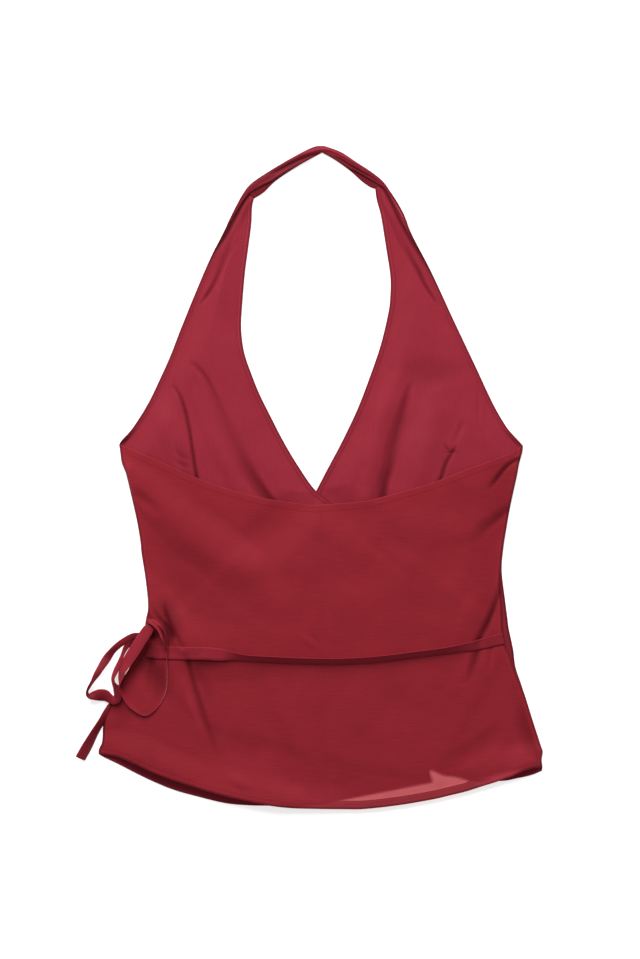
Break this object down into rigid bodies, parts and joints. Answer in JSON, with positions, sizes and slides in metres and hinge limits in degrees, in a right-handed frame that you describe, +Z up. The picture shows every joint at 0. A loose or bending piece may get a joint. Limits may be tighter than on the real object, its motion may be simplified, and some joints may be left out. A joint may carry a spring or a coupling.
{
  "type": "halter wrap top",
  "caption": "Sleeveless halter wrap top in a light woven cloth, laid flat with its back up: crossed fronts, neck band, tie belt and bow.",
  "frame": {"origin": "middle of the laid garment's box, on the surface that it lies on", "axes": "+Z up off the surface, +Y from the hem to the neck band, +X to the wearer's right (the garment lies face down)"},
  "size_m": [0.4982, 0.7061, 0.0182],
  "materials": {
    "front_cloth": "burgundy slub weave, wrong side of the fronts",
    "back_cloth": "burgundy slub weave, right side of the back",
    "band_cloth": "burgundy slub weave, folded double",
    "tie_cloth": "burgundy slub weave, turned ties"
  },
  "bodies": {
    "root": {"front_outer": "front_cloth", "front_inner": "front_cloth", "back_left": "back_cloth", "back_right": "back_cloth", "neck_band": "band_cloth", "tie_belt": "tie_cloth", "tie_knot": "tie_cloth", "tie_loop_long": "tie_cloth", "tie_loop_short": "tie_cloth", "tie_tail": "tie_cloth"}
  },
  "joints": []
}
